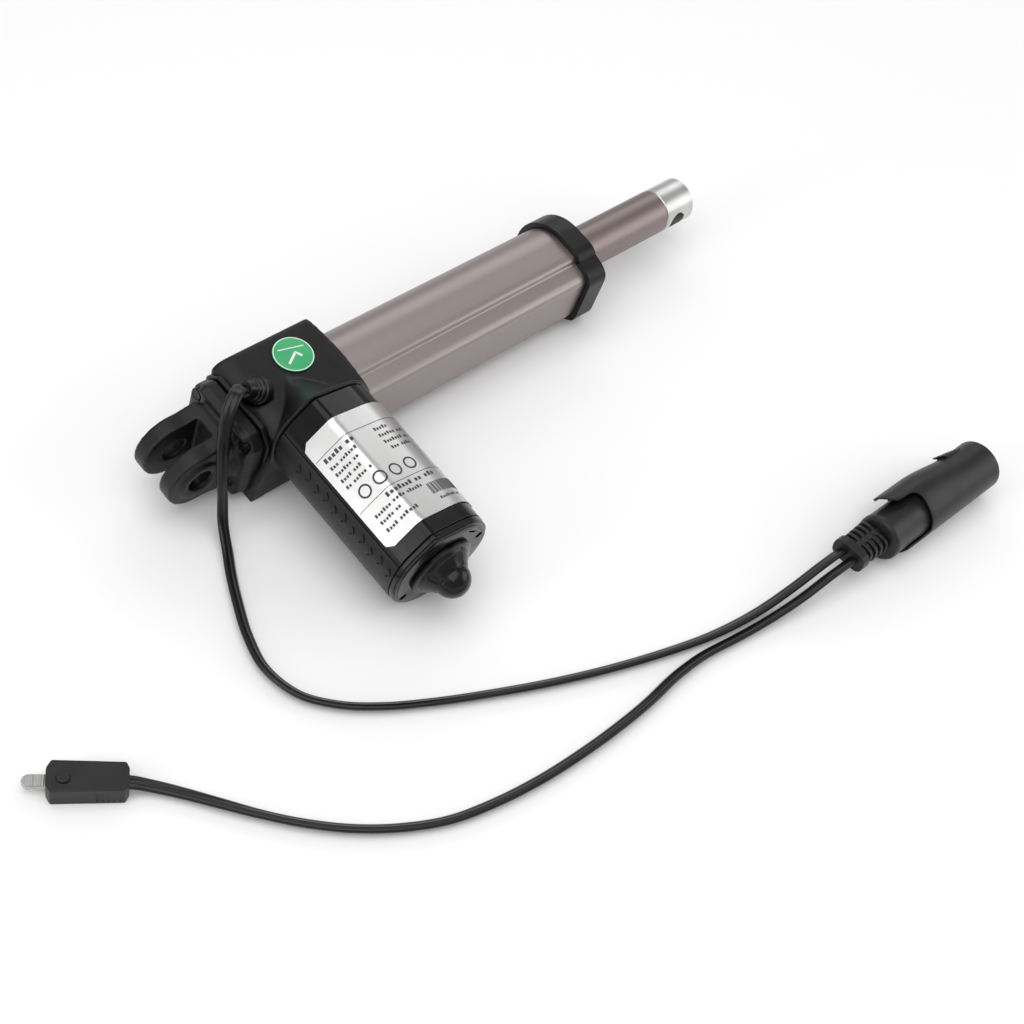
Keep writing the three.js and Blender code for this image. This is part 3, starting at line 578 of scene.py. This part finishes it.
# ---------------------------------------------------------------- motor cover
COVER_CORNERS = [(-14, 23.4, 2), (10, 23.4, 8), (24.6, 8, 9), (24.6, -8, 9), (11, -23.4, 8), (-7, -23.4, 9),
                 (-21, -11, 9), (-25, 8, 8)]
COVER_HALF = 24  # about half its width and height
COVER_WALL = 1.9
COVER_START = 0.3
COVER_END = 70
COVER_SPLIT = 8  # height of the seam between its two halves
COVER_GAP = 0.12


def cover_loop(inset=0.0):
    """The cover's outline, clockwise, drawn in by about an inset."""
    scale = 1 - inset / COVER_HALF
    loop = rounded_loop([(x * scale, y * scale, r * scale) for x, y, r in COVER_CORNERS], 12)
    return loop[::-1]


def part_of(loop, keep):
    """The unbroken part of an outline that a test keeps."""
    inside = [keep(p) for p in loop]
    first = next(i for i in range(len(loop)) if inside[i] and not inside[i - 1])
    count = sum(inside)
    return [loop[(first + i) % len(loop)] for i in range(count)]


def add_cover_half(name, node, level, keep, material):
    """The half of the cover that a test keeps, ending level along the seam."""
    outer = part_of(cover_loop(), keep)
    inner = part_of(cover_loop(COVER_WALL), keep)
    for part in (outer, inner):
        for end in (0, -1):
            part[end] = Vector((part[end].x, level))
    mesh = extruded(name, [*outer, *reversed(inner)], COVER_START, COVER_END)
    add_piece(name, mesh, COVER, material, "actuator", (node,), bevel=0.35)


def add_motor_cover():
    add_cover_half("cover_upper", "motor_cover_upper", COVER_SPLIT + COVER_GAP,
                   lambda p: p.y > COVER_SPLIT, gloss_black)
    add_cover_half("cover_lower", "motor_cover_lower", COVER_SPLIT - COVER_GAP,
                   lambda p: p.y < COVER_SPLIT, housing_black)


# ---------------------------------------------------------------- printed label and sticker
LABEL_START = 10.5
LABEL_END = 63.5
LABEL_FOOT = COVER_SPLIT + 1  # height at which the label stops on both sides
LABEL_CORNER = 3
LABEL_SKIN = (0.32, 0.55)  # lifts above the cover of the label's underside and top
PRINT_SKIN = (0.5, 0.6)
# the cover's outline under the label, from the label's left edge over the top to its right edge
LABEL_PATH = part_of(cover_loop(), lambda p: p.y > LABEL_FOOT)[::-1]
LABEL_WIDTH = sum((b - a).length for a, b in zip(LABEL_PATH, LABEL_PATH[1:]))


def on_cover(path, across, along, lift):
    """A point `lift` off the cover, `across` from the path's first end and `along` the motor."""
    for a, b in zip(path, path[1:]):
        step = (b - a).length
        if across <= step or b is path[-1]:
            break
        across -= step
    side = (b - a).normalized()
    point = a + side * across + Vector((-side.y, side.x)) * lift
    return Vector((point.x, point.y, along))


def label_patch(name, edges, low, high):
    """A thin closed skin over the label's path through rows (along, left, right)."""
    columns = max(2, math.ceil((edges[0][2] - edges[0][1]) / 1.2))
    rings = []
    for along, left, right in edges:
        across = [left + (right - left) * i / columns for i in range(columns + 1)]
        top = [on_cover(LABEL_PATH, s, along, high) for s in across]
        underside = [on_cover(LABEL_PATH, s, along, low) for s in reversed(across)]
        rings.append(top + underside)
    return loft_mesh(name, rings)


def arc_patch(path, across, along, radius, width, sweep, low, high):
    """A thin raised arc on the cover, even about the motor's direction; a full sweep is a ring."""
    steps = max(8, round(20 * sweep / math.pi))
    rings = []
    for i in range(steps + 1):
        angle = sweep * (i / steps - 0.5)
        corners = ((radius - width / 2, low), (radius + width / 2, low),
                   (radius + width / 2, high), (radius - width / 2, high))
        rings.append([on_cover(path, across + r * math.sin(angle), along + r * math.cos(angle), lift)
                      for r, lift in corners])
    return loft_mesh("arc", rings)


def merged(name, meshes):
    """One mesh out of several."""
    vertices = []
    faces = []
    for mesh in meshes:
        first = len(vertices)
        vertices.extend(tuple(v.co) for v in mesh.vertices)
        faces.extend(tuple(first + i for i in face.vertices) for face in mesh.polygons)
    mesh = bpy.data.meshes.new(name)
    mesh.from_pydata(vertices, [], faces)
    mesh.update()
    return mesh


WORD_LENGTHS = (5, 3, 6, 4, 7, 2)


def text_row(along, height, left, right, first):
    """Plain blocks that stand for the letters of a row of words."""
    blocks = []
    across = left
    for i in range(len(WORD_LENGTHS)):
        letters = WORD_LENGTHS[(first + i) % len(WORD_LENGTHS)]
        for letter in range(letters):
            end = across + 0.6 * height
            if end > right:
                return blocks
            top = along + height * (0 if (letter + i) % 3 == 0 else 0.28)
            blocks.append([(top, across, end), (along + height, across, end)])
            across = end + 0.3 * height
        across += 0.7 * height
    return blocks


def bar_code(along, height, left, stripes):
    """A row of stripes of mixed widths, which code nothing."""
    bars = []
    for stripe in range(stripes):
        width = (0.28, 0.5, 0.28, 0.75)[stripe % 4]
        bars.append([(along, left, left + width), (along + height, left, left + width)])
        left += width + (0.3, 0.45)[stripe % 2]
    return bars


# rows of print: distance along the label, height, left, right, first word
TEXT_ROWS = [
    (9.8, 2.1, 3.5, 19, 0),
    (13.8, 1.5, 3.5, 17, 1), (17.0, 1.5, 3.5, 15, 2), (20.2, 1.5, 3.5, 14, 3), (23.4, 1.5, 3.5, 17, 5),
    (10.8, 1.5, 28, 36, 0), (14.0, 1.5, 28, 42, 2), (17.2, 1.5, 28, 41, 4), (20.4, 1.5, 29, 40, 1),
    (36.0, 2.0, 13, 37, 4), (39.4, 1.5, 4.5, 28, 2), (42.6, 1.5, 4.5, 15, 0), (46.2, 1.6, 4.5, 20, 3),
    (47.6, 1.3, 31, 43, 4)]


RULES = (8.4, 34.8)
RULE_WIDTH = 0.25
RULE_INSET = 0.8
RING_MARKS = 4
RING_START = 8
RING_SPACING = 7.6
RING_ROW = 30  # distance along the label
RING_R = 2.4
RING_WIDTH = 0.75


def label_print():
    """Everything printed on the label: two rules, rows of plain blocks, a bar code and four rings."""
    bars = []
    for rule in RULES:
        along = LABEL_START + rule
        right = LABEL_WIDTH - RULE_INSET
        bars.append([(along, RULE_INSET, right), (along + RULE_WIDTH, RULE_INSET, right)])
    for along, height, left, right, first in TEXT_ROWS:
        bars += text_row(LABEL_START + along, height, left, right, first)
    bars += bar_code(LABEL_START + 40.8, height=5, left=29.5, stripes=22)
    rings = [arc_patch(LABEL_PATH, RING_START + i * RING_SPACING, LABEL_START + RING_ROW, RING_R, RING_WIDTH,
                       2 * math.pi, *PRINT_SKIN)
             for i in range(RING_MARKS)]
    return merged("label_print", [label_patch("bar", bar, *PRINT_SKIN) for bar in bars] + rings)


def add_label():
    rows = 24
    edges = []
    for i in range(rows + 1):
        along = LABEL_START + (LABEL_END - LABEL_START) * i / rows
        depth = max(0, LABEL_CORNER - min(along - LABEL_START, LABEL_END - along))
        inset = LABEL_CORNER - math.sqrt(LABEL_CORNER ** 2 - depth ** 2)
        edges.append((along, inset, LABEL_WIDTH - inset))
    add_piece("label", label_patch("label", edges, *LABEL_SKIN), COVER, label_silver, "actuator",
              ("motor_label",))
    add_piece("label_print", label_print(), COVER, label_ink, "actuator")


STICKER_AT = (7.2, HOUSING_TOP + 0.3, 55.8)
STICKER_TURN = math.radians(75)  # so that the tick reads from the clevis side
MARK_HEIGHT = 0.33  # middle of the sticker's printed marks
MARK_HALF = 0.05


def sticker_bar(x0, y0, x1, y1, width):
    """A straight printed mark between two points of the sticker."""
    length = math.hypot(x1 - x0, y1 - y0)
    outline = rectangle(-length / 2, -width / 2, length / 2, width / 2)
    mesh = extruded("bar", outline, -MARK_HALF, MARK_HALF)
    middle = Matrix.Translation(((x0 + x1) / 2, (y0 + y1) / 2, MARK_HEIGHT))
    mesh.transform(middle @ Matrix.Rotation(math.atan2(y1 - y0, x1 - x0), 4, "Z"))
    return mesh


def add_sticker():
    """The round inspection sticker with its rim, a tick and a line."""
    place = LINE @ Matrix.Translation(STICKER_AT) @ Matrix.Rotation(-math.pi / 2, 4, "X")
    disc = turned("sticker", [(8.4, 0), (8.4, 0.25), (8.3, 0.32)])
    add_piece("sticker", disc, place, sticker_green, "actuator", ("inspection_sticker",))
    rim = turned("rim", [(7.85, 0.28), (8.2, 0.28), (8.2, 0.38), (7.85, 0.38)], closed=True)
    marks = [sticker_bar(-3.2, 1.6, -1.0, -0.8, 1.0), sticker_bar(-1.25, -0.8, 3.4, 4.2, 1.0),
             sticker_bar(-5.5, -3.0, 5.5, -3.0, 0.45)]
    turn = place @ Matrix.Rotation(STICKER_TURN, 4, "Z")
    add_piece("sticker_rim", rim, place, sticker_white, "actuator")
    add_piece("sticker_marks", merged("sticker_marks", marks), turn, sticker_white, "actuator")


GRIP_MARKS = 11
GRIP_START = 12
GRIP_SPACING = 5.4
GRIP_STAGGER = 1.4
GRIP_EDGE = 6  # from the strip's upper edge
GRIP_R = 2.6
GRIP_WIDTH = 0.55
GRIP_SWEEP = 0.75 * math.pi
GRIP_SKIN = (-0.1, 0.35)


def add_grip_marks():
    """Raised crescents along the strip below the label's left edge."""
    strip = part_of(cover_loop(), lambda p: p.x < -12 and -16 < p.y < COVER_SPLIT)[::-1]
    across = sum((b - a).length for a, b in zip(strip, strip[1:])) - GRIP_EDGE
    marks = [arc_patch(strip, across + (i % 2) * GRIP_STAGGER, GRIP_START + i * GRIP_SPACING, GRIP_R,
                       GRIP_WIDTH, GRIP_SWEEP, *GRIP_SKIN)
             for i in range(GRIP_MARKS)]
    add_piece("grip_marks", merged("grip_marks", marks), COVER, housing_black, "actuator")


# ---------------------------------------------------------------- motor end
END_PLATE_STEPS = ((0, 70.3), (0, 72.1), (-0.9, 72.1), (-0.9, 72.9), (-1.9, 72.9), (-1.9, 73.3))
COVER_SCREWS = ((-13.5, -12.5), (16.6, 9.4))
SLOT_AT = (9.5, 15.6, 0)
SLOT_TURN = math.radians(-28)
DOME_BASE = 73.6
DOME_TOP = DOME_BASE + 14.5
DOME_R = 7.4


def add_end_plate():
    """The motor's end plate, stepped in twice, with its screw wells and a slot."""
    outline = cover_loop(0.3)
    rings = [at_height(grown(outline, grow), z) for grow, z in END_PLATE_STEPS]
    plate = add_piece("end_plate", loft_mesh("end_plate", rings), COVER, gloss_black, "actuator",
                      ("motor_end_plate",), bevel=0.25)
    bake_modifiers(plate)
    for x, y in COVER_SCREWS:
        carve(plate, turned("well", [(1.7, 69), (1.7, 75)], 32), COVER @ Matrix.Translation((x, y, 0)))
    slot = rounded_loop([(-2.6, -0.5, 0.4), (2.6, -0.5, 0.4), (2.6, 0.5, 0.4), (-2.6, 0.5, 0.4)], 3)
    slot_place = COVER @ Matrix.Translation(SLOT_AT) @ Matrix.Rotation(SLOT_TURN, 4, "Z")
    carve(plate, extruded("slot", slot, 72, 75), slot_place)
    plate.data.set_sharp_from_angle(angle=SHARP_ANGLE)


def add_dome():
    """The rubber cap over the motor's tail: a ribbed skirt under a half ball."""
    skirt = [(14, 0), (14, 1.2), (13.3, 1.7), (12.4, 1.8), (11.9, 2.9), (10.9, 3.5), (10.2, 4.5), (9.1, 5.4),
             (8.3, 6.6), (7.7, 7.2)]
    profile = [(r, DOME_BASE + z) for r, z in skirt]
    for i in range(13):
        angle = i / 13 * math.pi / 2
        profile.append((DOME_R * math.cos(angle), DOME_TOP - DOME_R * (1 - math.sin(angle))))
    add_piece("dome", turned("dome", profile), MOTOR, rubber_black, "actuator",
              ("rubber_dome",), bevel=0.18)


# ---------------------------------------------------------------- gearbox, clevis and grommet
def octagon(left, right, half, chamfer):
    """A plate's outline with all four corners cut off."""
    return [Vector(p) for p in (
        (left + chamfer, -half), (right - chamfer, -half), (right, chamfer - half), (right, half - chamfer),
        (right - chamfer, half), (left + chamfer, half), (left, half - chamfer), (left, chamfer - half))]


CLEVIS_SCREWS = ((-14.8, 13.8), (14.6, 13.8), (14.6, -13.8), (-14.8, -13.8))
EAR_FACE = 11.5  # outer face of each clevis ear, from the middle
# swaps x and z, which mirrors
SWAP_X_Z = Matrix(((0, 0, 1, 0), (0, 1, 0, 0), (1, 0, 0, 0), (0, 0, 0, 1)))


def add_clevis():
    """The fork: rings round its pin hole, round steps at its root, screws sunk in its flange."""
    flange = extruded("flange", octagon(-18.2, 17.7, 18.2, 4.6), 15.4, 18.4)
    steps = turned("steps", [(13.6, 12.6), (14, 13.6), (15.4, 14.2), (15.7, 15.6)])
    extras = [(flange, LINE), (steps, LINE)]
    for side in (-1, 1):
        ring = turned("ring", [(5.1, 0), (9.6, 0), (9.2, 1.1), (5.9, 1.1), (5.1, 0.6)], 64, closed=True)
        outwards = Matrix.Rotation(side * math.pi / 2, 4, "Y")
        extras.append((ring, LINE @ Matrix.Translation((side * EAR_FACE, 0, 0)) @ outwards))
    wells = [(turned("well", [(2.75, 14), (2.75, 17.8)], 32), LINE @ Matrix.Translation((x, y, 0)))
             for x, y in CLEVIS_SCREWS]
    moulded("rear_clevis", housing_black, voxel=0.4, smoothing=30, extras=extras, cuts=wells)


def add_gearbox():
    """The gearbox housing with a lip round the motor's seam and a heel round the clevis flange."""
    lip = extruded("lip", grown(cover_loop(), 0.9), -1.6, -0.25)
    heel = [Vector(p) for p in ((27, 8), (25.8, 8), (20.6, -8), (20.4, -19.8), (27, -19.8))]
    moulded("gearbox_housing", housing_black, voxel=0.42, smoothing=24,
            extras=[(lip, COVER), (extruded("heel", heel, -21.8, 19.8), LINE @ SWAP_X_Z)])
    moulded("rear_cover", housing_black, voxel=0.3, smoothing=4)


def add_grommet():
    """The cable's stepped rubber grommet."""
    profile = [(5.9, -3), (5.9, 0.9), (5.3, 1.3), (4.9, 1.3), (5.2, 1.9), (5.0, 2.8), (4.3, 3.2), (4.6, 3.8),
               (4.4, 4.7), (3.8, 5.2), (3.9, 5.9), (3.5, 7.2), (3.1, 9.0)]
    add_piece("grommet", turned("grommet", profile, 64), OUTLET, cord_black, "actuator",
              ("cable_grommet",), bevel=0.15)


# ---------------------------------------------------------------- plugs
CONTACT_OFF = 2.6  # the power plug's contacts, from its axis


def add_power_plug():
    relief = moulded("plug_strain_relief", plug_black, voxel=0.22, smoothing=3)
    profile = [(8.4, 18.3), (9.6, 18.8), (10.1, 19.8), (10.1, 21.4), (9.8, 22.2), (9.8, 49), (9.2, 50.6),
               (7.8, 51), (7.8, 70.5), (7.3, 71)]
    shell = add_piece("plug_shell", turned("plug_shell", profile), PLUG, plug_black, "actuator",
                      ("plug_body",))
    for across in (-CONTACT_OFF, CONTACT_OFF):
        well = turned("well", [(1.2, 61), (1.2, 72)], 24)
        carve(shell, well, PLUG @ Matrix.Translation((0, across, 0)))
    shell.data.set_sharp_from_angle(angle=SHARP_ANGLE)
    return relief, shell


SLEEVE_INNER = 10.4
SLEEVE_OUTER = 11.3
SLEEVE_START = 28
SLEEVE_RING = 42  # where the sleeve is whole all round
SLEEVE_END = 90
SLEEVE_TURN = math.radians(-48)
TAB_HALF = math.radians(32)
TAB_ROUNDING = 4.5  # length of the tab's rounded tip
TAB_ROOT_R = 4  # rounding where the tab's sides meet the whole ring
FLARE = 3.2  # how far the upper tab leans out
FLARE_FROM = 78
FLARE_TO = 46
LATCH_TURN = math.radians(-12)


def sleeve_edge():
    """A quarter of the sleeve's rear edge, as (angle from the tab's middle, distance along)."""
    tip_share = 0.95  # the part of the tab's half width that is its rounded tip
    tip_end = SLEEVE_START + TAB_ROUNDING
    side_end = SLEEVE_RING - TAB_ROOT_R
    root = TAB_ROOT_R / SLEEVE_OUTER
    edge = []
    for i in range(13):
        share = i / 12
        edge.append((TAB_HALF * tip_share * share,
                     SLEEVE_START + TAB_ROUNDING * (1 - math.sqrt(1 - share ** 2))))
    for i in range(1, 5):
        edge.append((TAB_HALF * (tip_share + (1 - tip_share) * i / 4),
                     tip_end + (side_end - tip_end) * i / 4))
    for i in range(1, 9):
        angle = i / 8 * math.pi / 2
        edge.append((TAB_HALF + root * (1 - math.cos(angle)), side_end + TAB_ROOT_R * math.sin(angle)))
    for i in range(1, 7):
        edge.append((TAB_HALF + root + (math.pi / 2 - TAB_HALF - root) * i / 6, SLEEVE_RING))
    return edge


def sleeve_flare(angle, along):
    """How far the upper tab, around angle 0, leans outwards."""
    share = max(0, min(1, (FLARE_FROM - along) / (FLARE_FROM - FLARE_TO)))
    return FLARE * (3 - 2 * share) * share ** 2 * max(0, math.cos(angle)) ** 2


def sleeve_columns(rows=16):
    """The sleeve's wall as closed columns of points, one for each point of its rear edge."""
    quarter = sleeve_edge()
    half = quarter + [(math.pi - angle, along) for angle, along in reversed(quarter[:-1])]
    edge = half[:-1] + [(angle + math.pi, along) for angle, along in half[:-1]]
    for angle, start in edge:
        column = []
        for wall, order in ((SLEEVE_OUTER, range(rows + 1)), (SLEEVE_INNER, range(rows, -1, -1))):
            for i in order:
                along = start + (SLEEVE_END - start) * i / rows
                radius = wall + sleeve_flare(angle, along)
                column.append(Vector((-radius * math.cos(angle), -radius * math.sin(angle), along)))
        yield column


def add_lock_sleeve():
    """The sliding lock sleeve, with a small latch above the tab's root and a slot behind it."""
    place = PLUG @ Matrix.Rotation(SLEEVE_TURN, 4, "Z")
    mesh = loft_mesh("sleeve", list(sleeve_columns()), closed=True)
    sleeve = add_piece("sleeve", mesh, place, plug_black, "sleeve", ("lock_sleeve",),
                       bevel=0.2)
    bake_modifiers(sleeve)
    latch_place = place @ Matrix.Rotation(LATCH_TURN, 4, "Z")
    latch = [Vector(p) for p in ((70.8, -12.9), (71.6, -13.1), (82, -11.4), (82, -10.7), (73.4, -10.7),
                                 (73.2, -11.6))]
    carve(sleeve, extruded("latch", latch, -3.2, 3.2), latch_place @ TURN_BACK, "UNION")
    carve(sleeve, extruded("slot", rectangle(-16, -1, -6, 0), 69, 72.6), latch_place)
    sleeve.data.set_sharp_from_angle(angle=math.radians(35))
    return sleeve


GROOVES = 5
GROOVE_START = -11.5
GROOVE_WIDTH = 0.8
GROOVE_SPACING = 1.9


def add_small_plug():
    """The small plug with grip grooves in its side and a round button on top."""
    grooves = []
    for i in range(GROOVES):
        along = GROOVE_START + i * GROOVE_SPACING
        groove = extruded("groove", rectangle(along, 5.6, along + GROOVE_WIDTH, 6.8), 1.4, 6.2)
        grooves.append((groove, SMALL_PLUG))
    button = turned("button", [(2.4, 6.5), (2.4, 9.9), (2.1, 10.2)], 48)
    button_place = SMALL_PLUG @ Matrix.Translation((8, 1, 0))
    return moulded("small_plug_body", plug_black, voxel=0.17, smoothing=3,
                   extras=[(button, button_place)], cuts=grooves)


BLADE_START = 9.3
BLADE_END = 22
BLADE_MIDDLE = 4.4  # height of its middle above the table
BLADE_HALF_WIDTH = 2.5
BLADE_HALF_HEIGHT = 1.05
BLADE_CHAMFER = 0.3
RIB_SPACING = 0.95
RIB_RISE = 0.14


def add_blade():
    """The small plug's metal tongue, ribbed across, with a round end."""
    rings = []
    steps = 90
    for i in range(steps + 1):
        x = BLADE_START + (BLADE_END - BLADE_START) * i / steps
        past = max(0, x - (BLADE_END - BLADE_HALF_WIDTH)) / BLADE_HALF_WIDTH
        side = max(0.4, BLADE_HALF_WIDTH * math.sqrt(1 - min(1, past) ** 2))
        rise = BLADE_HALF_HEIGHT + RIB_RISE * abs(math.sin(math.pi * x / RIB_SPACING))
        inner = side - BLADE_CHAMFER
        shoulder = rise - BLADE_CHAMFER
        rings.append([Vector((x, y, BLADE_MIDDLE + z)) for y, z in (
            (-side, -shoulder), (-inner, -rise), (inner, -rise), (side, -shoulder),
            (side, shoulder), (inner, rise), (-inner, rise), (-side, shoulder))])
    return add_piece("blade", loft_mesh("blade", rings), SMALL_PLUG, tinned, "actuator",
                     ("small_plug_blade",))


# ---------------------------------------------------------------- table
TABLE_HALF = 6
TABLE_THICKNESS = 0.02


def add_table():
    """The pale table, whose top is the ground; in metres."""
    outline = rectangle(-TABLE_HALF, -TABLE_HALF, TABLE_HALF, TABLE_HALF)
    floor = bpy.data.objects.new("table", extruded("table", outline, -TABLE_THICKNESS, 0))
    bpy.context.scene.collection.objects.link(floor)
    floor.data.materials.append(new_material("table", (0.93, 0.93, 0.93), 0.6, specular=0.2))


# ---------------------------------------------------------------- build
make_camera()
make_studio()
finish_cad_nodes()
add_profile()
add_collar()
add_rod()
add_motor_cover()
add_label()
add_grip_marks()
add_sticker()
add_end_plate()
add_dome()
add_gearbox()
add_clevis()
add_grommet()
relief, shell = add_power_plug()
sleeve = add_lock_sleeve()
small_plug = add_small_plug()
blade = add_blade()
add_cord("motor_cable", [*MOTOR_CABLE_ROUTE, MOTOR_CABLE_END])
add_cord("branch_cable", [BRANCH_CABLE_START, *BRANCH_CABLE_ROUTE])
add_table()
